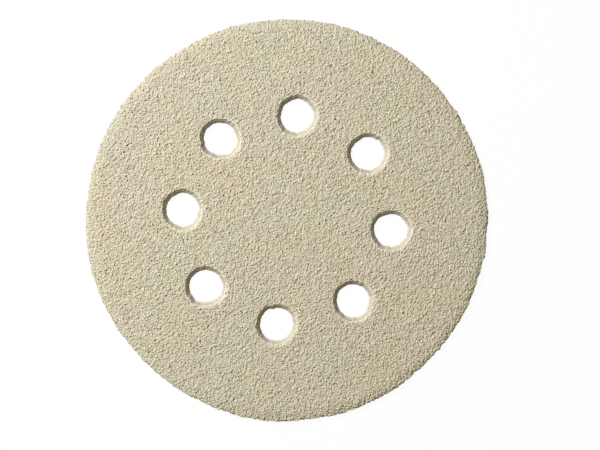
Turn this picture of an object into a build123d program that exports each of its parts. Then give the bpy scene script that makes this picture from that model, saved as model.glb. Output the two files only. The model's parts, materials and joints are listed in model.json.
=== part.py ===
from build123d import *
import math
import os

# Sanding disc for a random orbital sander, with eight dust holes, lying grain side up.
# It is a laminate of two webs: a paper coated with abrasive grain, and a loop-pile fabric
# that grips the hooks of the sander's pad. They are glued together, then punched in one
# stroke from the grain side. The stroke drives the cut edges down, so the outer rim rolls
# off and each hole has a funnel mouth that passes through both webs.
# Sizes are in millimetres. The origin is the centre of the face that meets the pad, +Z
# points out of the grain side, and the first hole lies on +X.

# Driving sizes
disc_diameter = 125.0
sheet_thickness = 0.8
pile_thickness = 1.4
rim_roll_width = 4.0
rim_roll_drop = 0.55
hole_count = 8
hole_circle_diameter = 65.0
hole_diameter = 10.0
funnel_flare = 1.5
funnel_lip_radius = 0.4
straight_wall_height = 0.4
punch_overrun = 1.0

# Worked out from them
disc_radius = disc_diameter / 2
flat_radius = disc_radius - rim_roll_width
total_thickness = pile_thickness + sheet_thickness
roll_radius = (rim_roll_width**2 + rim_roll_drop**2) / (2 * rim_roll_drop)
hole_radius = hole_diameter / 2
mouth_radius = hole_radius + funnel_flare


def rim_height(depth):
    """Height at the disc's edge of the surface that lies this deep below the grain side."""
    arc_radius = roll_radius - depth
    arc_centre_height = total_thickness - roll_radius
    return arc_centre_height + math.sqrt(arc_radius**2 - rim_roll_width**2)


def crown(depth):
    """Half section of the surface this deep below the grain side: its flat, then its rolled rim."""
    height = total_thickness - depth
    flat = Line((0, height), (flat_radius, height))
    roll = TangentArc((flat_radius, height), (disc_radius, rim_height(depth)), tangent=(1, 0))
    return [flat, roll]


def turned(section):
    """Solid of revolution about Z of a closed half section, drawn as radius and height."""
    return revolve(Plane.XZ * make_face(section), Axis.Z, 360)


def unpunched_sheet():
    """Coated paper before punching. It keeps its thickness where the rim rolls down."""
    edge = Line((disc_radius, rim_height(0)), (disc_radius, rim_height(sheet_thickness)))
    axis = Line((0, pile_thickness), (0, total_thickness))
    return turned(crown(0) + [edge] + crown(sheet_thickness) + [axis])


def unpunched_backing():
    """Loop fabric before punching, from the pad face up to the glue line, pressed thin at the rim."""
    edge = Line((disc_radius, rim_height(sheet_thickness)), (disc_radius, 0))
    pad_face = Line((disc_radius, 0), (0, 0))
    axis = Line((0, 0), (0, pile_thickness))
    return turned(crown(sheet_thickness) + [edge, pad_face, axis])


def lip_tangent_point():
    """Point, as radius and height, where the funnel's cone runs into the round of its lip."""
    to_centre_out = funnel_flare
    to_centre_up = total_thickness - funnel_lip_radius - straight_wall_height
    to_centre = math.hypot(to_centre_out, to_centre_up)
    cone_angle = math.atan2(to_centre_up, to_centre_out) + math.asin(funnel_lip_radius / to_centre)
    cone_length = math.sqrt(to_centre**2 - funnel_lip_radius**2)
    return (
        hole_radius + cone_length * math.cos(cone_angle),
        straight_wall_height + cone_length * math.sin(cone_angle),
    )


def punch():
    """What one hole takes away: a straight foot, a cone and a rounded lip, past both faces."""
    foot = (hole_radius, straight_wall_height)
    lip_start = lip_tangent_point()
    lip_end = (mouth_radius, total_thickness)
    below = -punch_overrun
    above = total_thickness + punch_overrun
    lip = TangentArc(lip_end, lip_start, tangent=(-1, 0))
    lower = Polyline((0, above), (0, below), (hole_radius, below), foot, lip_start)
    upper = Polyline(lip_end, (mouth_radius, above), (0, above))
    return turned([*lower.edges(), lip, *upper.edges()])


def punched(web):
    """The web with its ring of holes. Both webs are cut by the same punches."""
    holes = [place * punch() for place in PolarLocations(hole_circle_diameter / 2, hole_count)]
    return web - holes


parts = {
    "abrasive_sheet": punched(unpunched_sheet()),
    "loop_backing": punched(unpunched_backing()),
}

os.makedirs("parts", exist_ok=True)
for name, solid in parts.items():
    solid.label = name
    export_step(solid, f"parts/{name}.step")
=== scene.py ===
"""Sanding disc for a random orbital sander: grain-coated paper on a loop-pile backing.

The disc lies on its back with its grain side up, seen from straight above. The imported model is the
frame. What it leaves plain is built here: the relief and the grains of the coat, the punched edges
of both webs, and the loops and loose fibres of the pile. All lengths are in metres.
"""

import json
import logging
import math
from dataclasses import dataclass
from enum import Enum
from typing import Any, ClassVar

import bmesh
import bpy
import numpy as np
from mathutils import Matrix, Vector
from mathutils.geometry import delaunay_2d_cdt


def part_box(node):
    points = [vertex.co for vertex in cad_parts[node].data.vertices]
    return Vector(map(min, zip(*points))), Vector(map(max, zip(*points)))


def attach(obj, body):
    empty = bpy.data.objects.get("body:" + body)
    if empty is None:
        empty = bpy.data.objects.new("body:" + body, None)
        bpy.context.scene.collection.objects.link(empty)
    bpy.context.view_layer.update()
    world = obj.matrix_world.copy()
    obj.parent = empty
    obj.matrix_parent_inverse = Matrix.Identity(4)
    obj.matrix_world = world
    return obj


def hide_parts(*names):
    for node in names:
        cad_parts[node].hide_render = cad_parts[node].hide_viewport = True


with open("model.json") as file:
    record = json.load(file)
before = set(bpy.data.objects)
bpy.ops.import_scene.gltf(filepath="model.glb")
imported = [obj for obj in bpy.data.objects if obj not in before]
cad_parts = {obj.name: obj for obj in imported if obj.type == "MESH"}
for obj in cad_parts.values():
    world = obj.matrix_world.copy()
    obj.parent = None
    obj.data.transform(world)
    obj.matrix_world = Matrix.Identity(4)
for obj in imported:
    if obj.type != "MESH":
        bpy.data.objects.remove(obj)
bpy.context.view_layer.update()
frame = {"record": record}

MM = 0.001
FULL_TURN = 2 * math.pi
BODY = "root"

log = logging.getLogger("sanding_disc")

Colour = tuple[float, float, float, float]
Span = tuple[float, float]
Section = list[tuple[float, float]]
Socket = bpy.types.NodeSocket

WHITE: Colour = (1.0, 1.0, 1.0, 1.0)
WHOLE_DISC: dict[str, float] = {"Sector start": -math.pi, "Sector end": math.pi}


class Node(Enum):
    """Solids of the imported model."""

    SHEET = "abrasive_sheet"
    BACKING = "loop_backing"


class Slot(Enum):
    """Material slots of the record."""

    COAT = "grain_coat"
    PILE = "loop_pile"


class Trait(Enum):
    """Values that a mesh carries, for its materials and for what grows on it."""

    COAT = "coat"
    RELIEF = "relief"
    TINT = "tint"


def linear(red: int, green: int, blue: int) -> Colour:
    """Linear colour, with an alpha of 1, of an sRGB one whose channels run from 0 to 255."""
    shares = [value / 255 for value in (red, green, blue)]
    return (*(s / 12.92 if s <= 0.04045 else ((s + 0.055) / 1.055) ** 2.4 for s in shares), 1.0)


def new_object(name: str, data: bpy.types.ID) -> bpy.types.Object:
    """Makes an object of some data and puts it into the scene.

    Args:
        name: Name of the object.
        data: Its mesh, lamp or camera.

    Returns:
        The object.
    """
    made = bpy.data.objects.new(name, data)
    bpy.context.scene.collection.objects.link(made)
    return made


@dataclass(frozen=True)
class Outline:
    """A round outline, cut a little unevenly. Both webs are cut along the same one."""

    centre: tuple[float, float]
    girth: float
    wander: float
    seed: int
    shortest: float = 0.8 * MM
    first_wave: int = 2
    fine_fall: float = 0.45
    broad_fall: float = 1.5
    broad_share: float = 3.2

    def offsets(self, turns: np.ndarray) -> np.ndarray:
        """How far the cut strays outwards from its true circle.

        Args:
            turns: Angles round the outline.

        Returns:
            The distances: a sum of waves with random starts, lower the shorter they are.
        """
        waves = np.arange(self.first_wave, round(self.girth / self.shortest))
        starts = np.random.default_rng(self.seed).uniform(0, FULL_TURN, len(waves))
        heights = waves**-self.fine_fall + self.broad_share * waves**-self.broad_fall
        strayed = np.cos(np.outer(turns, waves) + starts) @ heights
        return self.wander * strayed / math.sqrt((heights**2).sum() / 2)


@dataclass(frozen=True)
class DiscPlan:
    """Sizes of the disc that both webs are cut to."""

    radius: float
    top: float
    glue_line: float
    hole_count: int
    hole_circle_radius: float
    hole_radius: float
    roll_width: float = 4.0 * MM
    roll_drop: float = 0.55 * MM
    funnel_flare: float = 1.5 * MM
    lip_radius: float = 0.4 * MM
    foot_height: float = 0.4 * MM
    rim_wander: float = 0.18 * MM
    hole_wander: float = 0.12 * MM
    seed: int = 40

    @classmethod
    def from_frame(cls) -> "DiscPlan":
        """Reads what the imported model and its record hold.

        Returns:
            The plan of the disc.
        """
        _, sheet_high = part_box(Node.SHEET.value)
        _, backing_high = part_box(Node.BACKING.value)
        mounts = {mount["name"]: mount for mount in frame["record"]["mounts"]}
        holes = mounts["dust_holes"]["dims"]
        return cls(
            radius=sheet_high.x,
            top=sheet_high.z,
            glue_line=backing_high.z,
            hole_count=int(holes["count"]),
            hole_circle_radius=holes["pcd_mm"] / 2 * MM,
            hole_radius=holes["hole_r_mm"] * MM,
        )

    @property
    def mouth_radius(self) -> float:
        """Radius at which a hole's lip meets the flat of the face."""
        return self.hole_radius + self.funnel_flare

    @property
    def sheet_thickness(self) -> float:
        """Thickness of the coated paper."""
        return self.top - self.glue_line

    def crown(self, radius: np.ndarray | float, depth: float) -> np.ndarray:
        """Height of the surface that lies a given depth below the grain side.

        Args:
            radius: Distances from the disc's axis, or one of them.
            depth: Depth below the grain side, measured square to it.

        Returns:
            The heights.
        """
        roll_radius = (self.roll_width**2 + self.roll_drop**2) / (2 * self.roll_drop)
        past_flat = np.clip(np.asarray(radius) - (self.radius - self.roll_width), 0.0, None)
        return self.top - roll_radius + np.sqrt((roll_radius - depth) ** 2 - past_flat**2)

    def outlines(self) -> list[Outline]:
        """Where the disc is cut.

        Returns:
            The outlines of the rim and then of the holes, from the one on the X axis round.
        """
        outlines = [Outline((0.0, 0.0), FULL_TURN * self.radius, self.rim_wander, self.seed)]
        for index in range(self.hole_count):
            turn = FULL_TURN * index / self.hole_count
            centre = (self.hole_circle_radius * math.cos(turn), self.hole_circle_radius * math.sin(turn))
            girth = FULL_TURN * self.hole_radius
            outlines.append(Outline(centre, girth, self.hole_wander, self.seed + 1 + index))
        return outlines

    def lip(self) -> tuple[float, float, float]:
        """Where the lip's round runs into the funnel's cone.

        Returns:
            Radius and height of that point, and the angle that the round turns through.
        """
        up = self.top - self.lip_radius - self.foot_height
        reach = math.hypot(self.funnel_flare, up)
        slope = math.atan2(up, self.funnel_flare) + math.asin(self.lip_radius / reach)
        length = math.sqrt(reach**2 - self.lip_radius**2)
        radius = self.hole_radius + length * math.cos(slope)
        return radius, self.foot_height + length * math.sin(slope), slope

    def cone_radius(self, height: float) -> float:
        """Radius of the funnel's cone at a height.

        Args:
            height: Height of a place on the cone.

        Returns:
            The radius there.
        """
        lip_radius, lip_height, _ = self.lip()
        share = (height - self.foot_height) / (lip_height - self.foot_height)
        return self.hole_radius + share * (lip_radius - self.hole_radius)


def spaced(start: tuple[float, float], end: tuple[float, float], step: float) -> Section:
    """Points along a straight stretch of a section.

    Args:
        start: Radius and height where the stretch begins.
        end: Radius and height where it ends.
        step: Longest distance between two points.

    Returns:
        The points from start to end, both included.
    """
    count = max(1, math.ceil(math.dist(start, end) / step))
    along = np.array(end) - np.array(start)
    return [tuple(np.array(start) + along * i / count) for i in range(count + 1)]


def clearance(points: np.ndarray, ring: np.ndarray, centre: tuple[float, float]) -> np.ndarray:
    """How far points lie outside a ring of vertices, in plan.

    Args:
        points: The points, one to a row.
        ring: The ring's vertices, one to a row.
        centre: The ring's centre.

    Returns:
        The distances, below 0 for points inside the ring.
    """
    away, spread = points[:, :2] - centre, ring[:, :2] - centre
    bearings = np.arctan2(spread[:, 1], spread[:, 0])
    reach = np.linalg.norm(spread, axis=1)
    ring_at = np.interp(np.arctan2(away[:, 1], away[:, 0]), bearings, reach, period=FULL_TURN)
    return np.linalg.norm(away, axis=1) - ring_at


class MeshDraft:
    """Vertices, triangles and a coat value for each vertex, gathered before the mesh is made."""

    def __init__(self) -> None:
        """Starts with nothing in it."""
        self.points: list[np.ndarray] = []
        self.coats: list[np.ndarray] = []
        self.triangles: list[np.ndarray] = []
        self.count = 0

    def add_points(self, points: np.ndarray, coat: float) -> np.ndarray:
        """Adds vertices.

        Args:
            points: Their places, one to a row.
            coat: 1 where grain covers them, 0 on a cut edge.

        Returns:
            The numbers of the new vertices.
        """
        numbers = np.arange(self.count, self.count + len(points))
        self.points.append(points)
        self.coats.append(np.full(len(points), coat))
        self.count += len(points)
        return numbers

    def add_ring(self, outline: Outline, spot: tuple[float, float], count: int, coat: float) -> np.ndarray:
        """Adds a level ring of vertices.

        Args:
            outline: The outline that it follows.
            spot: Its radius and its height.
            count: How many vertices it has.
            coat: 1 where grain covers them, 0 on a cut edge.

        Returns:
            The numbers of the new vertices.
        """
        turns = FULL_TURN * np.arange(count) / count
        radius = spot[0] + outline.offsets(turns)
        x = outline.centre[0] + radius * np.cos(turns)
        y = outline.centre[1] + radius * np.sin(turns)
        return self.add_points(np.stack([x, y, np.full(count, spot[1])], 1), coat)

    def join_rings(self, rings: list[np.ndarray]) -> None:
        """Adds a band of triangles between each ring and the next.

        Args:
            rings: Vertex numbers of rings of equal count, in order.
        """
        for first, second in zip(rings, rings[1:]):
            first_on, second_on = np.roll(first, -1), np.roll(second, -1)
            self.triangles.append(np.stack([first, first_on, second_on], 1))
            self.triangles.append(np.stack([first, second_on, second], 1))

    def all_points(self) -> np.ndarray:
        """Places of all vertices so far, one to a row."""
        return np.concatenate(self.points)

    def to_object(self, name: str) -> bpy.types.Object:
        """Makes the mesh object.

        Args:
            name: Name of the object and its mesh.

        Returns:
            The object, smooth-shaded, with its faces pointing outwards.
        """
        mesh = bpy.data.meshes.new(name)
        mesh.from_pydata(self.all_points().tolist(), [], np.concatenate(self.triangles).tolist())
        shaped = bmesh.new()
        shaped.from_mesh(mesh)
        bmesh.ops.recalc_face_normals(shaped, faces=shaped.faces)
        shaped.to_mesh(mesh)
        shaped.free()
        coat = mesh.attributes.new(Trait.COAT.value, "FLOAT", "POINT")
        coat.data.foreach_set("value", np.concatenate(self.coats).astype(np.float32))
        mesh.polygons.foreach_set("use_smooth", np.ones(len(mesh.polygons), dtype=bool))
        return new_object(name, mesh)


@dataclass
class Edge:
    """Section of an edge from the upper face to the lower one, with the coat at each point."""

    section: Section
    coats: list[float]


@dataclass
class Face:
    """One face of a web: level at a height of its own, or a depth below the grain side."""

    plan: DiscPlan
    coat: float
    depth: float = 0.0
    level: float | None = None

    def heights(self, radius: np.ndarray) -> np.ndarray:
        """Heights of the face at distances from the axis.

        Args:
            radius: The distances.

        Returns:
            The height at each.
        """
        if self.level is not None:
            return np.full(len(radius), self.level)
        return self.plan.crown(radius, self.depth)


@dataclass
class WebShape:
    """Sections of a web's rim and of its holes' walls, and its two faces."""

    rim: Edge
    hole: Edge
    upper: Face
    lower: Face


@dataclass
class PunchedWeb:
    """A closed round web with a ring of holes: two faces, joined by its rim and its holes' walls."""

    plan: DiscPlan
    upper_step: float
    lower_step: float
    seed: int
    jitter: float = 0.18
    ring_gap: float = 0.62
    merge_reach: float = 1e-6

    def build(self, name: str, shape: WebShape) -> bpy.types.Object:
        """Builds the web's mesh.

        Args:
            name: Name of the object.
            shape: Its sections and faces.

        Returns:
            The object.
        """
        draft = MeshDraft()
        walls = [
            self._wall(draft, outline, shape.hole if index else shape.rim)
            for index, outline in enumerate(self.plan.outlines())
        ]
        self._face(draft, [wall[0] for wall in walls], self.upper_step, shape.upper)
        self._face(draft, [wall[-1] for wall in walls], self.lower_step, shape.lower)
        return draft.to_object(name)

    def _wall(self, draft: MeshDraft, outline: Outline, edge: Edge) -> list[np.ndarray]:
        """Adds the rim or one hole's wall.

        Args:
            draft: What the vertices and triangles go into.
            outline: The outline that the rings follow.
            edge: The section, from the upper face to the lower one.

        Returns:
            The rings, from the upper face to the lower one.
        """
        widest = max(radius for radius, _ in edge.section)
        count = round(FULL_TURN * widest / min(self.upper_step, self.lower_step))
        rings = [draft.add_ring(outline, spot, count, coat) for spot, coat in zip(edge.section, edge.coats)]
        draft.join_rings(rings)
        return rings

    def _face(self, draft: MeshDraft, rings: list[np.ndarray], step: float, face: Face) -> None:
        """Fills one face between the rim's ring and the holes' rings.

        Args:
            draft: What the vertices and triangles go into.
            rings: Vertex numbers of the rings, the rim's first.
            step: Distance between two vertices of the face.
            face: Height and coat of the face.
        """
        points = draft.all_points()
        placed = [points[ring] for ring in rings]
        inner = self._lattice(step, self.plan.radius)
        inner = inner[self._on_web(inner, placed, self.ring_gap * step)]
        heights = face.heights(np.linalg.norm(inner, axis=1))
        numbers = np.concatenate([*rings, draft.add_points(np.column_stack([inner, heights]), face.coat)])
        plan_points = np.concatenate([np.concatenate(placed)[:, :2], inner])
        triangles = self._triangles(plan_points, [len(ring) for ring in rings])
        middles = plan_points[triangles].mean(axis=1)
        draft.triangles.append(numbers[triangles[self._on_web(middles, placed, 0.0)]])

    def _on_web(self, spots: np.ndarray, rings: list[np.ndarray], gap: float) -> np.ndarray:
        """Which spots lie on the web in plan.

        Args:
            spots: The spots, one to a row.
            rings: Vertices of each ring, the rim's first.
            gap: How far inside the rim and outside the holes a spot has to lie.

        Returns:
            True for each spot that does.
        """
        rim, *holes = [
            clearance(spots, ring, outline.centre) for ring, outline in zip(rings, self.plan.outlines())
        ]
        return (rim < -gap) & (np.array(holes) > gap).all(axis=0)

    def _triangles(self, points: np.ndarray, ring_sizes: list[int]) -> np.ndarray:
        """Delaunay triangles of points in plan, with the rings' own edges kept.

        Args:
            points: The points, one to a row, the rings' first.
            ring_sizes: How many points each ring has.

        Returns:
            Three point numbers to a row.
        """
        edges = []
        start = 0
        for size in ring_sizes:
            edges += [(start + i, start + (i + 1) % size) for i in range(size)]
            start += size
        in_mm = [Vector(point) for point in (points / MM).tolist()]
        return np.array(delaunay_2d_cdt(in_mm, edges, [], 0, self.merge_reach, False)[2])

    def _lattice(self, step: float, radius: float) -> np.ndarray:
        """Points of a triangular lattice inside a circle, each moved a little at random.

        Args:
            step: Distance between neighbours.
            radius: Radius of the circle.

        Returns:
            The points in plan, one to a row.
        """
        row_height = step * math.sqrt(3) / 2
        rows = np.arange(-math.ceil(radius / row_height), math.ceil(radius / row_height) + 1)
        columns = np.arange(-math.ceil(radius / step), math.ceil(radius / step) + 1)
        row_grid, column_grid = np.meshgrid(rows, columns, indexing="ij")
        x = (column_grid + 0.5 * (row_grid % 2)) * step
        y = row_grid * row_height
        points = np.stack([x.ravel(), y.ravel()], 1)
        drift = np.random.default_rng(self.seed).uniform(-self.jitter, self.jitter, points.shape)
        points = points + drift * step
        return points[np.linalg.norm(points, axis=1) < radius]


class Wiring:
    """A node tree that is being wired."""

    def __init__(self, tree: bpy.types.NodeTree) -> None:
        """Takes the tree to wire."""
        self.tree = tree

    @classmethod
    def of(cls, owner: bpy.types.Material | bpy.types.World) -> "Wiring":
        """Empties a material's or a world's own tree.

        Args:
            owner: The material or the world.

        Returns:
            The tree's wiring.
        """
        owner.use_nodes = True
        owner.node_tree.nodes.clear()
        return cls(owner.node_tree)

    def feed(self, socket: Socket, value: Any) -> None:
        """Gives a socket what it takes.

        Args:
            socket: The socket.
            value: A value to set it to, or a socket to link to it.
        """
        if isinstance(value, Socket):
            self.tree.links.new(value, socket)
        else:
            socket.default_value = value

    def add(self, kind: str, feeds: dict[Any, Any] | None = None, **settings: Any) -> bpy.types.Node:
        """Adds a node.

        Args:
            kind: Blender's name for the node's type.
            feeds: What goes into its sockets, by name or number: a value, or a socket to link.
            settings: The node's own properties.

        Returns:
            The node.
        """
        node = self.tree.nodes.new(kind)
        for name, value in settings.items():
            setattr(node, name, value)
        for key, value in (feeds or {}).items():
            self.feed(node.inputs[key], value)
        return node

    def out(self, kind: str, feeds: dict[Any, Any] | None = None, **settings: Any) -> Socket:
        """First output of a new node, which takes what `add` takes."""
        return self.add(kind, feeds, **settings).outputs[0]

    def math(self, operation: str, *values: Any) -> Socket:
        """Result of a Math node on one to three values or sockets."""
        return self.out("ShaderNodeMath", dict(enumerate(values)), operation=operation)

    def vector(self, operation: str, *values: Any, **named: Any) -> Socket:
        """Result of a Vector Math node on vectors, and on a Scale where it takes one."""
        return self.out("ShaderNodeVectorMath", {**dict(enumerate(values)), **named}, operation=operation)

    def scaled(self, value: Any, span: Span, to: Span = (0.0, 1.0)) -> Socket:
        """Value moved from one span to another, and held inside it."""
        return self.out("ShaderNodeMapRange", dict(enumerate((value, *span, *to))))

    def mixed(self, share: Any, first: Any, second: Any) -> Socket:
        """Mix of two colours, with a share of the second from 0 to 1."""
        return self.add("ShaderNodeMix", {0: share, 6: first, 7: second}, data_type="RGBA").outputs[2]

    def seen_straight(self) -> Socket:
        """Tells what a camera looks at from what only lights the disc.

        Returns:
            1 for what is looked at, also in a reflection or through glass, and 0 for other light.
        """
        path = self.add("ShaderNodeLightPath").outputs
        straight = self.math("MAXIMUM", path["Is Camera Ray"], path["Is Glossy Ray"])
        return self.math("MAXIMUM", straight, path["Is Transmission Ray"])


class NodeGroup:
    """A node group. It takes its sources, each named after its type, and some named numbers."""

    title: ClassVar[str]
    tree_kind: ClassVar[str]
    sources: ClassVar[tuple[str, ...]]
    inputs: ClassVar[dict[str, float]]

    def __init__(self) -> None:
        """Makes the group with its inputs."""
        self.tree = bpy.data.node_groups.new(self.title, self.tree_kind)
        self.wiring = Wiring(self.tree)
        for source in self.sources:
            self.open(source, "INPUT", source)
        for label, default in self.inputs.items():
            kind = "Int" if isinstance(default, int) else "Float"
            self.open(label, "INPUT", kind).default_value = default
        self.given = self.wiring.add("NodeGroupInput").outputs

    def open(self, label: str, side: str, kind: str) -> bpy.types.NodeTreeInterfaceSocket:
        """Gives the group one more input or output."""
        return self.tree.interface.new_socket(label, in_out=side, socket_type=f"NodeSocket{kind}")

    def scale(self, size: str) -> Socket:
        """Texture scale that gives a pattern the size of an input."""
        return self.wiring.math("DIVIDE", 1.0, self.given[size])


@dataclass(frozen=True)
class Draw:
    """A random number or vector for each point, kept apart from other draws by its salt."""

    low: Any
    high: Any
    salt: int


class Recipe(NodeGroup):
    """A Geometry Nodes tree that grows something on a mesh."""

    tree_kind = "GeometryNodeTree"
    sources = ("Geometry", "Material")

    def __init__(self) -> None:
        """Makes the tree and wires it."""
        super().__init__()
        self.open("Geometry", "OUTPUT", "Geometry")
        real = self.wiring.out("GeometryNodeRealizeInstances", {"Geometry": self.grow()})
        feeds = {"Geometry": self.finished(real), "Material": self.given["Material"]}
        self.wiring.add("NodeGroupOutput", {"Geometry": self.wiring.out("GeometryNodeSetMaterial", feeds)})

    def grow(self) -> Socket:
        """Wires what the recipe makes. Each recipe has its own."""
        raise NotImplementedError

    def finished(self, geometry: Socket) -> Socket:
        """Wires what is done to the realized mesh: nothing, unless a recipe says more."""
        return geometry

    def cook(
        self, host: bpy.types.Object, material: bpy.types.Material, values: dict[str, float] | None = None
    ) -> bpy.types.Mesh:
        """Runs the recipe on a mesh.

        Args:
            host: The mesh object to grow on. It's left as it was.
            material: Material of the result.
            values: Values of the inputs that don't keep their defaults.

        Returns:
            The result as a plain mesh.
        """
        sockets = [item for item in self.tree.interface.items_tree if item.in_out == "INPUT"]
        identifiers = {item.name: item.identifier for item in sockets}
        modifier = host.modifiers.new(self.title, "NODES")
        modifier.node_group = self.tree
        for name, value in {"Material": material, **(values or {})}.items():
            modifier[identifiers[name]] = value
        depsgraph = bpy.context.evaluated_depsgraph_get()
        made = bpy.data.meshes.new_from_object(
            host.evaluated_get(depsgraph), preserve_all_data_layers=True, depsgraph=depsgraph
        )
        host.modifiers.remove(modifier)
        return made

    def position(self) -> Socket:
        """Place of each vertex or point."""
        return self.wiring.out("GeometryNodeInputPosition")

    def normal(self) -> Socket:
        """Direction that each vertex or face looks in."""
        return self.wiring.out("GeometryNodeInputNormal")

    def moved(self, geometry: Socket, **where: Socket) -> Socket:
        """Geometry moved by an Offset, or to a Position."""
        return self.wiring.out("GeometryNodeSetPosition", {"Geometry": geometry, **where})

    def shaded(self, geometry: Socket, smooth: bool) -> Socket:
        """Geometry with smooth or flat shading."""
        feeds = {"Geometry": geometry, "Shade Smooth": smooth}
        return self.wiring.out("GeometryNodeSetShadeSmooth", feeds)

    def stored(self, geometry: Socket, trait: Trait, value: Any, domain: str) -> Socket:
        """Geometry that carries a value under a trait's name."""
        feeds = {"Geometry": geometry, "Name": trait.value, "Value": value}
        return self.wiring.out("GeometryNodeStoreNamedAttribute", feeds, data_type="FLOAT", domain=domain)

    def read(self, trait: Trait) -> Socket:
        """Value that the geometry carries under a trait's name."""
        return self.wiring.out("GeometryNodeInputNamedAttribute", {"Name": trait.value}, data_type="FLOAT")

    def random(self, draw: Draw) -> Socket:
        """Random value for each point, from the recipe's own seed.

        Args:
            draw: What is drawn.

        Returns:
            The socket that holds the value.
        """
        seed = self.wiring.math("ADD", self.given["Seed"], draw.salt)
        vector = isinstance(draw.low, tuple)
        first, data_type = (0, "FLOAT_VECTOR") if vector else (2, "FLOAT")
        feeds = {first: draw.low, first + 1: draw.high, "Seed": seed}
        node = self.wiring.add("FunctionNodeRandomValue", feeds, data_type=data_type)
        return node.outputs[0 if vector else 1]


class CoatRelief(Recipe):
    """Raises the clumps of grain or the nap on a covered face, and roughens the cut edges."""

    title = "Coat relief"
    inputs = {
        "Clump size": 0.5 * MM,
        "Clump height": 0.45 * MM,
        "Swell size": 4.0 * MM,
        "Swell height": 0.02 * MM,
        "Edge size": 0.7 * MM,
        "Edge height": 0.1 * MM,
        "Seed": 1,
    }
    pebble_share: ClassVar[float] = 0.4
    pebble_reach: ClassVar[float] = 0.8
    gain: ClassVar[float] = 4.0

    def grow(self) -> Socket:
        """Moves each vertex along its normal by a mix of noises.

        Returns:
            The raised mesh.
        """
        wiring, given = self.wiring, self.given
        place = self.position()
        clumps = self._noise(place, "Clump size", detail=1.0, roughness=0.95)
        swell = self._noise(place, "Swell size", detail=1.0, roughness=0.5)
        fray = self._noise(place, "Edge size", detail=2.0, roughness=0.6)
        clumps = wiring.math("MULTIPLY", clumps, 1.0 - self.pebble_share)
        pebbles = wiring.math("MULTIPLY", self._pebbles(place), self.pebble_share)
        relief = wiring.math("ADD", clumps, pebbles)
        swell = wiring.math("MULTIPLY", swell, given["Swell height"])
        raised = wiring.math("MULTIPLY_ADD", relief, given["Clump height"], swell)
        frayed = wiring.math("MULTIPLY", fray, given["Edge height"])
        feeds = {0: self.read(Trait.COAT), 2: frayed, 3: raised}
        height = wiring.out("ShaderNodeMix", feeds, data_type="FLOAT")
        carried = self.stored(given["Geometry"], Trait.RELIEF, relief, "POINT")
        return self.moved(carried, Offset=wiring.vector("SCALE", self.normal(), Scale=height))

    def _noise(self, place: Socket, size: str, detail: float, roughness: float) -> Socket:
        """Noise that lies around 0, mostly between -1 and 1.

        Args:
            place: Where it is read.
            size: Name of the input that holds its size.
            detail: How many finer noises it has in it.
            roughness: How strong they are.

        Returns:
            The socket that holds the noise.
        """
        feeds = {"Vector": place, "W": self.given["Seed"], "Scale": self.scale(size)}
        feeds |= {"Detail": detail, "Roughness": roughness}
        noise = self.wiring.out("ShaderNodeTexNoise", feeds, noise_dimensions="4D")
        return self.wiring.math("MULTIPLY_ADD", noise, self.gain, -self.gain / 2)

    def _pebbles(self, place: Socket) -> Socket:
        """Pebbles with narrow gaps between them.

        Args:
            place: Where they are read.

        Returns:
            A height from about -1 in the gaps to 1 on top of the pebbles.
        """
        feeds = {"Vector": place, "Scale": self.scale("Clump size"), "Smoothness": 0.35}
        cells = self.wiring.add("ShaderNodeTexVoronoi", feeds, feature="SMOOTH_F1", voronoi_dimensions="3D")
        return self.wiring.scaled(cells.outputs["Distance"], (0.0, self.pebble_reach), (1.0, -1.0))


class Scatter(Recipe):
    """Puts a small shape on each of many points, spread evenly over one sector of a mesh."""

    turn: ClassVar[Draw]
    covered: ClassVar[float] = 0.9

    def grow(self) -> Socket:
        """Spreads the points and places the shape on each.

        Returns:
            The shapes as instances.
        """
        wiring, given = self.wiring, self.given
        feeds = {
            "Mesh": given["Geometry"],
            "Selection": self.where(),
            "Distance Min": given["Spacing"],
            "Density Max": given["Candidates"],
            "Seed": given["Seed"],
        }
        scatter = wiring.add("GeometryNodeDistributePointsOnFaces", feeds, distribute_method="POISSON")
        feeds = {
            "Points": self._inside_sector(scatter.outputs["Points"]),
            "Instance": self.shape(),
            "Rotation": self.random(self.turn),
            "Scale": self.size(),
        }
        return self.settled(wiring.out("GeometryNodeInstanceOnPoints", feeds))

    def where(self) -> Socket:
        """What is grown on: the covered face, unless a recipe says otherwise."""
        return self.wiring.math("GREATER_THAN", self.read(Trait.COAT), self.covered)

    def shape(self) -> Socket:
        """Wires the shape itself. Each recipe has its own."""
        raise NotImplementedError

    def size(self) -> Socket:
        """Wires how large each shape is, as a share. Each recipe has its own."""
        raise NotImplementedError

    def settled(self, instances: Socket) -> Socket:
        """Wires what is done to the instances: nothing, unless a recipe says more."""
        return instances

    def _inside_sector(self, points: Socket) -> Socket:
        """Points that lie between the recipe's inputs Sector start and Sector end.

        Args:
            points: Points anywhere round the disc's axis.

        Returns:
            The socket that holds what is left of them.
        """
        wiring = self.wiring
        place = wiring.add("ShaderNodeSeparateXYZ", {0: self.position()}).outputs
        bearing = wiring.math("ARCTAN2", place[1], place[0])
        before = wiring.math("LESS_THAN", bearing, self.given["Sector start"])
        past = wiring.math("GREATER_THAN", bearing, self.given["Sector end"])
        feeds = {"Geometry": points, "Selection": wiring.math("MAXIMUM", before, past)}
        return wiring.out("GeometryNodeDeleteGeometry", feeds, domain="POINT")


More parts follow.
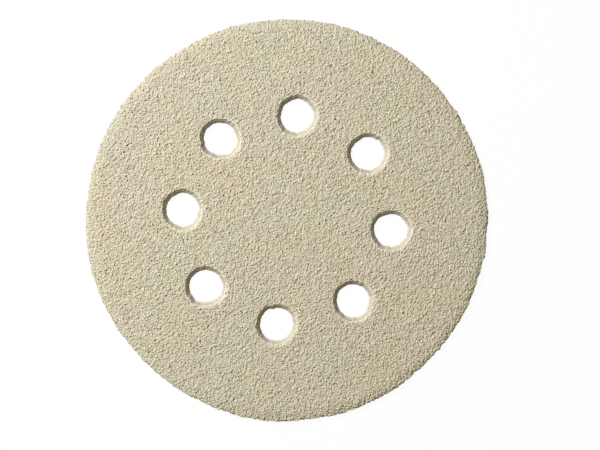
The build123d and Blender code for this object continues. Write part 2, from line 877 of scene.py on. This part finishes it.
class GrainField(Scatter):
    """Scatters angular grains over the coat, half sunk in it."""

    title = "Grain field"
    inputs = {
        "Grain radius": 0.3 * MM,
        "Spread": 0.35,
        "Spacing": 0.68 * MM,
        "Candidates": 8.0e6,
        "Sink": 0.08 * MM,
        "Facet size": 0.2 * MM,
        "Facet depth": 0.1 * MM,
        **WHOLE_DISC,
        "Seed": 11,
    }
    squeeze = Draw((0.75, 0.75, 0.55), (1.2, 1.2, 0.95), salt=2)
    turn = Draw((-0.5, -0.5, 0.0), (0.5, 0.5, FULL_TURN), salt=3)
    tint = Draw(0.0, 1.0, salt=4)

    def shape(self) -> Socket:
        """A ball of twenty flat sides."""
        feeds = {"Radius": self.given["Grain radius"], "Subdivisions": 1}
        return self.wiring.out("GeometryNodeMeshIcoSphere", feeds)

    def size(self) -> Socket:
        """Wires how large a grain is along each of its axes.

        Returns:
            The shares: some grains are larger than others, and all are a little flat.
        """
        smallest = self.wiring.math("SUBTRACT", 1.0, self.given["Spread"])
        largest = self.wiring.math("ADD", 1.0, self.given["Spread"])
        size = self.random(Draw(smallest, largest, salt=1))
        return self.wiring.vector("SCALE", self.random(self.squeeze), Scale=size)

    def settled(self, instances: Socket) -> Socket:
        """Sinks the grains into the coat, and gives each a tint.

        Args:
            instances: The grains.

        Returns:
            The sunk grains.
        """
        down = self.wiring.math("MULTIPLY", self.given["Sink"], -1.0)
        drop = self.wiring.out("ShaderNodeCombineXYZ", {"Z": down})
        feeds = {"Instances": instances, "Translation": drop, "Local Space": False}
        sunk = self.wiring.out("GeometryNodeTranslateInstances", feeds)
        return self.stored(sunk, Trait.TINT, self.random(self.tint), "INSTANCE")

    def finished(self, geometry: Socket) -> Socket:
        """Chips each grain differently, and keeps its facets flat.

        Args:
            geometry: The realized grains.

        Returns:
            The chipped grains.
        """
        wiring = self.wiring
        feeds = {"Vector": self.position(), "Scale": self.scale("Facet size"), "Detail": 0.0}
        noise = wiring.add("ShaderNodeTexNoise", feeds, noise_dimensions="3D")
        centred = wiring.vector("SUBTRACT", noise.outputs["Color"], (0.5, 0.5, 0.5))
        chip = wiring.vector("SCALE", centred, Scale=self.given["Facet depth"])
        return self.shaded(self.moved(geometry, Offset=chip), smooth=False)


class YarnScatter(Scatter):
    """Scatters short bent lengths of yarn."""

    bend_start: ClassVar[float] = math.radians(-20)
    bend: ClassVar[float]
    bend_steps: ClassVar[int] = 4
    yarn_sides: ClassVar[int] = 3
    sizes: ClassVar[Draw]
    floor_corner: ClassVar[tuple[float, float, float]] = (-1.0, -1.0, 0.0)

    def bent_yarn(self, radius: Socket) -> Socket:
        """Length of yarn along an arc of a circle.

        Args:
            radius: Radius of the arc.

        Returns:
            The yarn, closed at its ends.
        """
        wiring = self.wiring
        feeds = {"Resolution": self.bend_steps, "Radius": radius}
        feeds |= {"Start Angle": self.bend_start, "Sweep Angle": self.bend}
        arc = wiring.out("GeometryNodeCurveArc", feeds)
        feeds = {"Resolution": self.yarn_sides, "Radius": self.given["Yarn radius"]}
        yarn = wiring.out("GeometryNodeCurvePrimitiveCircle", feeds)
        feeds = {"Curve": arc, "Profile Curve": yarn, "Fill Caps": True}
        return wiring.out("GeometryNodeCurveToMesh", feeds)

    def size(self) -> Socket:
        """Some lengths are longer than others."""
        return self.random(self.sizes)

    def finished(self, geometry: Socket) -> Socket:
        """Smooths the yarn, and flattens what would pass the surface that the disc lies on.

        Args:
            geometry: The realized yarn.

        Returns:
            The finished yarn.
        """
        above = self.wiring.vector("MAXIMUM", self.position(), self.floor_corner)
        return self.shaded(self.moved(geometry, Position=above), smooth=True)


class PileLoops(YarnScatter):
    """Grows the small loops of the pile on the web's lower face."""

    title = "Pile loops"
    inputs = {
        "Loop radius": 0.34 * MM,
        "Yarn radius": 0.1 * MM,
        "Spacing": 0.72 * MM,
        "Candidates": 1.2e7,
        **WHOLE_DISC,
        "Seed": 21,
    }
    bend = math.radians(220)
    turn = Draw((-0.6, -0.6, 0.0), (0.6, 0.6, FULL_TURN), salt=1)
    sizes = Draw(0.8, 1.2, salt=2)

    def shape(self) -> Socket:
        """An arc of yarn that hangs by its two ends."""
        feeds = {"Geometry": self.bent_yarn(self.given["Loop radius"]), "Rotation": (-math.pi / 2, 0, 0)}
        return self.wiring.out("GeometryNodeTransform", feeds)


class EdgeFibres(YarnScatter):
    """Grows loose fibre ends out of the pile's cut edges."""

    title = "Edge fibres"
    inputs = {
        "Fibre length": 0.36 * MM,
        "Yarn radius": 0.032 * MM,
        "Spacing": 0.45 * MM,
        "Candidates": 6.0e7,
        **WHOLE_DISC,
        "Seed": 31,
    }
    bend = math.radians(125)
    turn = Draw((0.0, 0.0, 0.0), (FULL_TURN, FULL_TURN, FULL_TURN), salt=1)
    sizes = Draw(0.6, 1.1, salt=2)
    facing_up: ClassVar[float] = 0.8
    bare: ClassVar[float] = 0.5

    def where(self) -> Socket:
        """Wires what is grown on.

        Returns:
            The walls: what neither looks up nor is covered.
        """
        facing = self.wiring.add("ShaderNodeSeparateXYZ", {0: self.normal()}).outputs[2]
        level = self.wiring.math("GREATER_THAN", facing, self.facing_up)
        taken = self.wiring.math("MAXIMUM", level, self.read(Trait.COAT))
        return self.wiring.math("LESS_THAN", taken, self.bare)

    def shape(self) -> Socket:
        """A fibre bent round a third of a circle."""
        return self.bent_yarn(self.wiring.math("DIVIDE", self.given["Fibre length"], 2.0))


class Effect(NodeGroup):
    """A shader node group that more than one finish uses, with a place on the surface as its input."""

    tree_kind = "ShaderNodeTree"
    sources = ("Vector",)
    outputs: ClassVar[list[str]]

    def __init__(self) -> None:
        """Makes the group and wires it."""
        super().__init__()
        for label in self.outputs:
            self.open(label, "OUTPUT", "Float")
        self.wiring.add("NodeGroupOutput", dict(zip(self.outputs, self.wire())))

    def wire(self) -> list[Socket]:
        """Wires the group's outputs. Each effect has its own."""
        raise NotImplementedError

    def noise(self, vector: Socket, **feeds: float) -> Socket:
        """Noise of the group's Size at a place."""
        return self.wiring.out("ShaderNodeTexNoise", {"Vector": vector, "Scale": self.scale("Size"), **feeds})


class FineGrit(Effect):
    """Small angular grit between the grains: its height, and a random value for each speck."""

    title = "Fine grit"
    inputs = {"Size": 0.22 * MM}
    outputs = ["Height", "Speck"]
    dome_reach: ClassVar[float] = 0.9
    dome_height: ClassVar[float] = 0.3

    def wire(self) -> list[Socket]:
        """Mixes cells with a finer noise.

        Returns:
            The height and the random value.
        """
        wiring, vector = self.wiring, self.given["Vector"]
        feeds = {"Vector": vector, "Scale": self.scale("Size")}
        cells = wiring.add("ShaderNodeTexVoronoi", feeds, feature="F1")
        noise = self.noise(vector, Detail=1.0, Roughness=0.8)
        domes = wiring.scaled(cells.outputs["Distance"], (0.0, self.dome_reach), (self.dome_height, 0.0))
        speck = wiring.out("ShaderNodeSeparateColor", {0: cells.outputs["Color"]})
        return [wiring.math("ADD", noise, domes), speck]


class Mottle(Effect):
    """Slow drift of a surface's colour, from 0 to 1."""

    title = "Mottle"
    inputs = {"Size": 7.0 * MM}
    outputs = ["Mask"]
    stretched: ClassVar[Span] = (0.3, 0.7)

    def wire(self) -> list[Socket]:
        """Stretches a noise to the whole range, as the one output."""
        noise = self.noise(self.given["Vector"], Detail=4.0, Roughness=0.62)
        return [self.wiring.scaled(noise, self.stretched)]


class FibreGrain(Effect):
    """Crossed fine fibres: their height, and a mask for painted shade in the gaps between them."""

    title = "Fibre grain"
    inputs = {"Size": 0.08 * MM, "Stretch": 5.0}
    outputs = ["Height", "Gaps"]
    bearings: ClassVar[Span] = (0.6, 2.1)
    gap_shade_heights: ClassVar[Span] = (0.35, 0.6)

    def wire(self) -> list[Socket]:
        """Lays two stretched noises across each other.

        Returns:
            The height, and the mask for painted shade in the gaps.
        """
        wiring, given = self.wiring, self.given
        along = wiring.math("DIVIDE", 1.0, given["Stretch"])
        squash = wiring.out("ShaderNodeCombineXYZ", {0: along, 1: 1.0, 2: 1.0})
        layers = []
        for bearing in self.bearings:
            feeds = {"Vector": given["Vector"], "Angle": bearing}
            turned = wiring.out("ShaderNodeVectorRotate", feeds, rotation_type="Z_AXIS")
            drawn = wiring.vector("MULTIPLY", turned, squash)
            layers.append(self.noise(drawn, Detail=2.0, Distortion=0.6))
        height = wiring.math("MAXIMUM", *layers)
        # The gap mask marks where painted shade goes, where the fibres lie low.
        return [height, wiring.scaled(height, self.gap_shade_heights, (1.0, 0.0))]


@dataclass(frozen=True)
class Effects:
    """The shader node groups that the finishes share."""

    grit: FineGrit
    mottle: Mottle
    fibre: FibreGrain


@dataclass(frozen=True)
class Layer:
    """A colour over another one, by how much of it shows at the two ends of a value's span."""

    colour: Colour
    span: Span
    shares: Span = (0.0, 1.0)


@dataclass
class Surface:
    """A surface whose material is being wired: its Principled shader, and where on it that is."""

    wiring: Wiring
    shader: bpy.types.Node
    place: Socket
    effects: Effects

    def feed(self, **feeds: Any) -> None:
        """Sets or links the shader's inputs, with _ for each space in their names."""
        for name, value in feeds.items():
            self.wiring.feed(self.shader.inputs[name.replace("_", " ")], value)

    def trait(self, trait: Trait) -> Socket:
        """Value that the mesh carries under a trait's name."""
        return self.wiring.add("ShaderNodeAttribute", attribute_name=trait.value).outputs["Fac"]

    def use(self, effect: Effect, size: float, at: Socket | None = None) -> bpy.types.bpy_prop_collection:
        """Places an effect.

        Args:
            effect: The effect.
            size: Size of its pattern.
            at: Where it is read: at the shader's own place, if nothing is given.

        Returns:
            The effect's outputs.
        """
        feeds = {"Vector": at or self.place, "Size": size}
        return self.wiring.add("ShaderNodeGroup", feeds, node_tree=effect.tree).outputs

    def laid(self, tone: Any, layer: Layer, value: Socket) -> Socket:
        """Colour with a layer on it, as a value tells."""
        return self.wiring.mixed(self.wiring.scaled(value, layer.span, layer.shares), tone, layer.colour)

    def bump(self, height: Socket, distance: float, strength: float = 1.0) -> None:
        """Feeds a height into the shader's normal."""
        feeds = {"Height": height, "Distance": distance, "Strength": strength}
        self.feed(Normal=self.wiring.out("ShaderNodeBump", feeds))


class Finish:
    """Base of the finishes: a material with one Principled shader."""

    name: str

    def material(self, effects: Effects) -> bpy.types.Material:
        """Makes the material.

        Args:
            effects: The shared node groups.

        Returns:
            The material.
        """
        made = bpy.data.materials.new(self.name)
        wiring = Wiring.of(made)
        shader = wiring.add("ShaderNodeBsdfPrincipled")
        wiring.add("ShaderNodeOutputMaterial", {"Surface": shader.outputs[0]})
        place = wiring.add("ShaderNodeTexCoord").outputs["Object"]
        self.wire(Surface(wiring, shader, place, effects))
        return made

    def wire(self, surface: Surface) -> None:
        """Wires what feeds the shader. Each finish has its own."""
        raise NotImplementedError


@dataclass(frozen=True)
class CoatFinish(Finish):
    """Chalky cream coat over the grain, with bare paper at the cut edges."""

    name: str = "grain_coat"
    body: Colour = linear(198, 193, 162)
    chalk: Colour = linear(197, 193, 181)
    cool: Colour = linear(188, 196, 175)
    warm: Colour = linear(207, 189, 171)
    # Browner in the valleys: partly the binder's own colour, partly painted shade.
    binder_and_valley_shade: Layer = Layer(linear(182, 169, 133), (-0.1, -0.9))
    # Paler on the tops: partly stearate, partly a painted highlight.
    stearate_and_peak_highlight: Layer = Layer(linear(208, 204, 187), (0.1, 0.9))
    speck: Layer = Layer(linear(160, 147, 113), (0.93, 0.97), (0.0, 0.55))
    worn: Layer = Layer(linear(214, 206, 187), (0.6, 1.0), (1.0, 0.0))
    paper: Layer = Layer(linear(189, 183, 165), (0.2, 0.6), (1.0, 0.0))
    drift_size: float = 24.0 * MM
    drift_share: float = 0.5
    haze_size: float = 17.0 * MM
    haze_shift: tuple[float, float, float] = (-0.4, 0.3, 0.0)
    grit_size: float = 0.6 * MM
    grit_depth: float = 0.48 * MM
    grit_heights: Span = (0.4, 0.8)
    roughness: Span = (0.8, 0.55)
    fibre_size: float = 0.08 * MM
    fibre_height: float = 0.06
    specular: float = 0.5

    def wire(self, surface: Surface) -> None:
        """Colours the coat by its relief, and drifts and specks it. Its valleys are browner, partly the
        binder's own tone and partly painted shade, and its tops are paler, partly stearate and partly a
        painted highlight.

        Args:
            surface: The surface that is being wired.
        """
        wiring, effects = surface.wiring, surface.effects
        grit = surface.use(effects.grit, self.grit_size)
        fibre = surface.use(effects.fibre, self.fibre_size)
        drift = surface.use(effects.mottle, self.drift_size)
        apart = wiring.vector("ADD", surface.place, self.haze_shift)
        haze = surface.use(effects.mottle, self.haze_size, apart)
        relief, coat = surface.trait(Trait.RELIEF), surface.trait(Trait.COAT)
        tone = wiring.mixed(haze["Mask"], self.body, self.chalk)
        drifted = wiring.mixed(drift["Mask"], self.cool, self.warm)
        tone = wiring.mixed(self.drift_share, tone, drifted)
        # Painted shade in the valleys, over the binder's browner tone.
        tone = surface.laid(tone, self.binder_and_valley_shade, relief)
        # Painted highlight on the tops, over the stearate's paler tone.
        tone = surface.laid(tone, self.stearate_and_peak_highlight, relief)
        tone = surface.laid(tone, self.speck, grit["Speck"])
        tone = surface.laid(tone, self.worn, coat)
        edge = wiring.scaled(coat, self.paper.span, self.paper.shares)
        tone = wiring.mixed(edge, tone, self.paper.colour)
        rough = wiring.scaled(grit["Height"], self.grit_heights, self.roughness)
        surface.feed(Base_Color=tone, Roughness=rough, Specular_IOR_Level=self.specular)
        soft = wiring.math("MULTIPLY", wiring.math("MULTIPLY", fibre["Height"], self.fibre_height), edge)
        surface.bump(wiring.math("MULTIPLY_ADD", grit["Height"], coat, soft), self.grit_depth)


@dataclass(frozen=True)
class GrainFinish(Finish):
    """Single grains: most dusted with the cream coat, some bare, tan or dark."""

    name: str = "grain_tips"
    bare: Layer = Layer(linear(212, 206, 187), (0.55, 0.8))
    tan: Layer = Layer(linear(194, 182, 150), (0.2, 0.05), (0.0, 0.8))
    dark: Layer = Layer(linear(160, 146, 112), (0.03, 0.02))
    dust: Layer = Layer(linear(203, 195, 171), (0.3, 0.9), (0.35, 0.0))
    glossy_tints: Span = (0.5, 1.0)
    roughness: Span = (0.65, 0.3)
    grit_size: float = 0.12 * MM
    grit_depth: float = 0.025 * MM
    grit_strength: float = 0.5
    specular: float = 0.5

    def wire(self, surface: Surface) -> None:
        """Colours each grain by its own random tint.

        Args:
            surface: The surface that is being wired.
        """
        grit = surface.use(surface.effects.grit, self.grit_size)
        tint = surface.trait(Trait.TINT)
        tone = surface.laid(self.dust.colour, self.bare, tint)
        tone = surface.laid(tone, self.tan, tint)
        tone = surface.laid(tone, self.dark, tint)
        tone = surface.laid(tone, self.dust, grit["Height"])
        rough = surface.wiring.scaled(tint, self.glossy_tints, self.roughness)
        surface.feed(Base_Color=tone, Roughness=rough, Specular_IOR_Level=self.specular)
        surface.bump(grit["Height"], self.grit_depth, self.grit_strength)


@dataclass(frozen=True)
class PileFinish(Finish):
    """Off-white knitted yarn, fluffed and paler near the pad."""

    name: str = "loop_pile"
    yarn: Colour = linear(193, 189, 176)
    # Darker tone: painted shade in the low gaps, and the far end of the yarn's random drift.
    gap_shade_and_drift: Colour = linear(174, 163, 137)
    fluff: Layer = Layer(linear(216, 213, 203), (0.6 * MM, 1.15 * MM), (1.0, 0.0))
    fibre_size: float = 0.09 * MM
    fibre_height: float = 0.2
    nap_size: float = 0.4 * MM
    nap_depth: float = 0.22 * MM
    nap_gap_shade: Span = (0.7, 0.45)
    nap_shade_shares: Span = (0.0, 0.8)
    gap_shade_share: float = 0.5
    drift_size: float = 3.0 * MM
    drift_share: float = 0.25
    roughness: float = 0.9
    specular: float = 0.2
    sheen: float = 0.25

    def wire(self, surface: Surface) -> None:
        """Paints shade into the gaps between fibres and between nap clumps, and drifts the yarn's colour
        towards the same darker tone.

        Args:
            surface: The surface that is being wired.
        """
        wiring, effects = surface.wiring, surface.effects
        fibre = surface.use(effects.fibre, self.fibre_size)
        nap = surface.use(effects.grit, self.nap_size)
        drift = surface.use(effects.mottle, self.drift_size)
        height = wiring.add("ShaderNodeSeparateXYZ", {0: surface.place}).outputs[2]
        tone = surface.laid(self.yarn, self.fluff, height)
        # Painted shade where the nap lies low.
        nap_gap_shade = wiring.scaled(nap["Height"], self.nap_gap_shade, self.nap_shade_shares)
        gaps = wiring.math("MAXIMUM", fibre["Gaps"], nap_gap_shade)
        # Painted shade in the gaps between fibres and between nap clumps.
        tone = wiring.mixed(wiring.math("MULTIPLY", gaps, self.gap_shade_share), tone, self.gap_shade_and_drift)
        # Random drift of the yarn towards the darker tone.
        tone = wiring.mixed(wiring.math("MULTIPLY", drift["Mask"], self.drift_share), tone, self.gap_shade_and_drift)
        surface.feed(Base_Color=tone, Roughness=self.roughness)
        surface.feed(Specular_IOR_Level=self.specular, Sheen_Weight=self.sheen)
        relief = wiring.math("MULTIPLY_ADD", fibre["Height"], self.fibre_height, nap["Height"])
        surface.bump(relief, self.nap_depth)


@dataclass(frozen=True)
class FloorFinish:
    """White ground that still takes a faint shadow."""

    name: str = "white_ground"
    paint: Colour = (0.9, 0.9, 0.9, 1.0)
    shadow_share: float = 0.04

    def material(self) -> bpy.types.Material:
        """Makes the material.

        Returns:
            A matte white that a camera sees as nearly pure white.
        """
        made = bpy.data.materials.new(self.name)
        wiring = Wiring.of(made)
        matte = wiring.out("ShaderNodeBsdfDiffuse", {"Color": self.paint})
        glow = wiring.out("ShaderNodeEmission", {"Color": WHITE, "Strength": 1.0})
        share = wiring.math("MULTIPLY", wiring.seen_straight(), 1.0 - self.shadow_share)
        mix = wiring.out("ShaderNodeMixShader", {0: share, 1: matte, 2: glow})
        wiring.add("ShaderNodeOutputMaterial", {"Surface": mix})
        return made


@dataclass
class Studio:
    """Camera, lamp, sky and ground, placed as the disc is seen and lit."""

    plan: DiscPlan
    lens: float = 85.0
    sensor: float = 36.0
    nearest: float = 0.01
    view_distance: float = 438.5 * MM
    roll: float = math.radians(5.65)
    aim_right: float = 4.13 * MM
    aim_down: float = 1.58 * MM
    lamp_bearing: float = math.radians(145.0)
    lamp_elevation: float = math.radians(40.0)
    lamp_distance: float = 0.83
    lamp_size: float = 0.1
    lamp_power: float = 10.12
    lamp_colour: tuple[float, float, float] = (0.984, 0.989, 1.0)
    sky_strength: float = 0.135
    sky_colour: Colour = (1.06, 0.77, 0.21, 1.0)
    ground_size: float = 1.6

    def build(self) -> None:
        """Sets up everything around the disc."""
        bpy.context.scene.view_settings.view_transform = "Standard"
        self._camera()
        self._lamp()
        self._sky()
        self._ground()
        log.info("studio: lens %.0f mm from %.0f mm above", self.lens, self.view_distance / MM)

    @property
    def right(self) -> Vector:
        """Direction in the world of the picture's right."""
        return Vector((math.cos(self.roll), math.sin(self.roll), 0.0))

    @property
    def up(self) -> Vector:
        """Direction in the world of the picture's top."""
        return Vector((-math.sin(self.roll), math.cos(self.roll), 0.0))

    def _camera(self) -> None:
        """Adds the camera, looking straight down."""
        camera = new_object("camera", bpy.data.cameras.new("camera"))
        camera.data.lens = self.lens
        camera.data.sensor_width = self.sensor
        camera.data.clip_start = self.nearest
        above = Vector((0.0, 0.0, self.plan.top + self.view_distance))
        spot = above + self.right * self.aim_right - self.up * self.aim_down
        axes = Matrix((self.right, self.up, Vector((0.0, 0.0, 1.0)))).transposed()
        camera.matrix_world = Matrix.Translation(spot) @ axes.to_4x4()
        bpy.context.scene.camera = camera

    def _lamp(self) -> None:
        """Adds the one lamp, up and to the left of the picture."""
        light = bpy.data.lights.new("key", "AREA")
        light.shape = "DISK"
        light.size = self.lamp_size
        light.energy = self.lamp_power
        light.color = self.lamp_colour
        level = self.right * math.cos(self.lamp_bearing) + self.up * math.sin(self.lamp_bearing)
        toward = level * math.cos(self.lamp_elevation) + Vector((0, 0, math.sin(self.lamp_elevation)))
        turn = toward.to_track_quat("Z", "Y").to_matrix().to_4x4()
        new_object("key", light).matrix_world = Matrix.Translation(toward * self.lamp_distance) @ turn

    def _sky(self) -> None:
        """Fills the shadows a little, and shows white behind everything."""
        world = bpy.data.worlds.new("studio")
        bpy.context.scene.world = world
        wiring = Wiring.of(world)
        straight = wiring.seen_straight()
        strength = wiring.scaled(straight, (0.0, 1.0), (self.sky_strength, 1.0))
        colour = wiring.mixed(straight, self.sky_colour, WHITE)
        sky = wiring.out("ShaderNodeBackground", {"Color": colour, "Strength": strength})
        wiring.add("ShaderNodeOutputWorld", {"Surface": sky})

    def _ground(self) -> None:
        """Adds the ground that the disc lies on."""
        half = self.ground_size / 2
        mesh = bpy.data.meshes.new("ground")
        corners = [(-half, -half, 0.0), (half, -half, 0.0), (half, half, 0.0), (-half, half, 0.0)]
        mesh.from_pydata(corners, [], [(0, 1, 2, 3)])
        mesh.materials.append(FloorFinish().material())
        ground = new_object("ground", mesh)


@dataclass
class Ply:
    """One ply of the laminate: its web, and what grows on it in one piece for each sector."""

    plan: DiscPlan
    effects: Effects
    slot: ClassVar[Slot]
    node: ClassVar[Node]

    def piece(self, name: str, mesh: bpy.types.Mesh) -> bpy.types.Object:
        """Makes a finished piece of the ply.

        Args:
            name: Name of the piece.
            mesh: Its mesh, in place.

        Returns:
            The piece, riding on the disc.
        """
        mesh.name = name
        piece = new_object(name, mesh)
        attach(piece, BODY)
        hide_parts(self.node.value)
        mesh.calc_loop_triangles()
        log.info("%s: %d triangles", name, len(mesh.loop_triangles))
        return piece

    def scatter(
        self, name: str, recipe: Scatter, host: bpy.types.Object, material: bpy.types.Material, count: int
    ) -> None:
        """Runs a recipe once for each of some equal sectors, so that no piece has too many triangles.

        Args:
            name: Name of the pieces, without their number.
            recipe: The recipe.
            host: The piece to grow on.
            material: Material of the result.
            count: How many sectors there are.
        """
        bounds = np.linspace(-math.pi, math.pi, count + 1).tolist()
        for index, sector in enumerate(zip(bounds, bounds[1:]), 1):
            self.piece(f"{name}_{index}", recipe.cook(host, material, dict(zip(WHOLE_DISC, sector))))


@dataclass
class AbrasiveSheet(Ply):
    """The coated paper: its raised face, its cut edges and its grains.

    Its web starts a little below the solid's top, and the relief and the grains rise from there.
    """

    slot = Slot.COAT
    node = Node.SHEET
    face_step: float = 0.39 * MM
    hidden_step: float = 4.0 * MM
    edge_step: float = 0.22 * MM
    sink: float = 0.24 * MM
    collar: float = 0.75 * MM
    collar_rings: int = 4
    lip_coat: float = 0.5
    rim_inset: float = 0.25 * MM
    corner: float = 0.12 * MM
    corner_turn: float = 0.3
    corner_coats: tuple[float, ...] = (1.0, 0.9, 0.3)
    sectors: int = 3
    seed: int = 5

    def build(self) -> None:
        """Builds the sheet and its grains."""
        shape = WebShape(
            rim=self._rim(),
            hole=self._hole(),
            upper=Face(self.plan, coat=1.0, depth=self.sink),
            lower=Face(self.plan, coat=0.0, depth=self.plan.sheet_thickness),
        )
        web = PunchedWeb(self.plan, self.face_step, self.hidden_step, self.seed)
        blank = web.build("sheet_blank", shape)
        face = CoatRelief().cook(blank, CoatFinish().material(self.effects))
        piece = self.piece("abrasive_sheet_coated", face)
        self.scatter("grains", GrainField(), piece, GrainFinish().material(self.effects), self.sectors)
        bpy.data.objects.remove(blank)

    def _hole(self) -> Edge:
        """Section of a hole's wall: a collar on the face, the rounded lip, and the cone below it.

        Returns:
            The section, less and less covered with grain down to the cone's bare paper.
        """
        plan = self.plan
        lip_radius, lip_height, turn = plan.lip()
        face = plan.top - self.sink
        shares = [1.0 - i / self.collar_rings for i in range(self.collar_rings)]
        collar = [(plan.mouth_radius + self.collar * share, face) for share in shares]
        steps = math.ceil(turn * plan.lip_radius / self.edge_step)
        lip = [
            (
                plan.mouth_radius - plan.lip_radius * math.sin(turn * i / steps),
                plan.top - plan.lip_radius * (1 - math.cos(turn * i / steps)) - self.sink,
            )
            for i in range(steps)
        ]
        foot = (plan.cone_radius(plan.glue_line), plan.glue_line)
        cone = spaced((lip_radius, lip_height - self.sink), foot, self.edge_step)
        covered = np.linspace(1.0, self.lip_coat, len(collar) + len(lip) + 1).tolist()
        return Edge(collar + lip + cone, covered + [0.0] * (len(cone) - 1))

    def _rim(self) -> Edge:
        """Section of the rim: a small round, and the cut side below it.

        Returns:
            The section, bare of grain on its side.
        """
        plan, corner = self.plan, self.corner
        cut = plan.radius - self.rim_inset
        top = float(plan.crown(plan.radius, 0.0)) - self.sink
        foot = float(plan.crown(plan.radius, plan.sheet_thickness))
        round_over = [
            (cut - corner, float(plan.crown(cut - corner, 0.0)) - self.sink),
            (cut - corner * self.corner_turn, top - corner * self.corner_turn),
        ]
        section = round_over + spaced((cut, top - corner), (cut, foot), self.edge_step)
        bare = [0.0] * (len(section) - len(self.corner_coats))
        return Edge(section, [*self.corner_coats, *bare])


@dataclass
class LoopBacking(Ply):
    """The loop fabric: its web, its loops and the loose fibres of its cut edges.

    Its web lies a little inside the solid, which leaves room for the loops and the fibres.
    """

    slot = Slot.PILE
    node = Node.BACKING
    face_step: float = 0.47 * MM
    hidden_step: float = 4.0 * MM
    edge_step: float = 0.24 * MM
    nap_size: float = 0.75 * MM
    nap_height: float = 0.14 * MM
    fray_size: float = 0.6 * MM
    fray_height: float = 0.08 * MM
    loop_room: float = 0.45 * MM
    edge_inset: float = 0.09 * MM
    rim_inset: float = 0.2 * MM
    sectors: int = 2
    seed: int = 8

    def build(self) -> None:
        """Builds the web, its loops and its loose fibres."""
        material = PileFinish().material(self.effects)
        web = PunchedWeb(self.plan, self.hidden_step, self.face_step, self.seed)
        blank = web.build("backing_blank", self._shape())
        nap = {"Clump size": self.nap_size, "Clump height": self.nap_height}
        nap |= {"Edge size": self.fray_size, "Edge height": self.fray_height}
        piece = self.piece("backing_web", CoatRelief().cook(blank, material, nap))
        self.scatter("pile_loops", PileLoops(), piece, material, self.sectors)
        self.piece("cut_fibres", EdgeFibres().cook(piece, material))
        bpy.data.objects.remove(blank)

    def _shape(self) -> WebShape:
        """Works out the web's sections and faces.

        Returns:
            The web's shape. Only its lower face is covered with pile.
        """
        plan, foot = self.plan, self.loop_room
        depth = plan.sheet_thickness
        waist = (plan.hole_radius + self.edge_inset, plan.foot_height)
        cone = spaced((plan.cone_radius(plan.glue_line), plan.glue_line), waist, self.edge_step)
        hole = cone + [(waist[0], foot)]
        cut = plan.radius - self.rim_inset
        rim_top = (cut, float(plan.crown(plan.radius, depth)))
        rim = spaced(rim_top, (cut - self.edge_inset, foot), self.edge_step)
        return WebShape(
            rim=Edge(rim, [0.0] * len(rim)),
            hole=Edge(hole, [0.0] * len(hole)),
            upper=Face(plan, coat=0.0, depth=depth),
            lower=Face(plan, coat=1.0, level=foot),
        )


def main() -> None:
    """Builds the studio and the disc."""
    logging.basicConfig(level=logging.INFO, format="%(message)s")
    plan = DiscPlan.from_frame()
    effects = Effects(FineGrit(), Mottle(), FibreGrain())
    Studio(plan).build()
    AbrasiveSheet(plan, effects).build()
    LoopBacking(plan, effects).build()


if __name__ == "__main__":
    main()
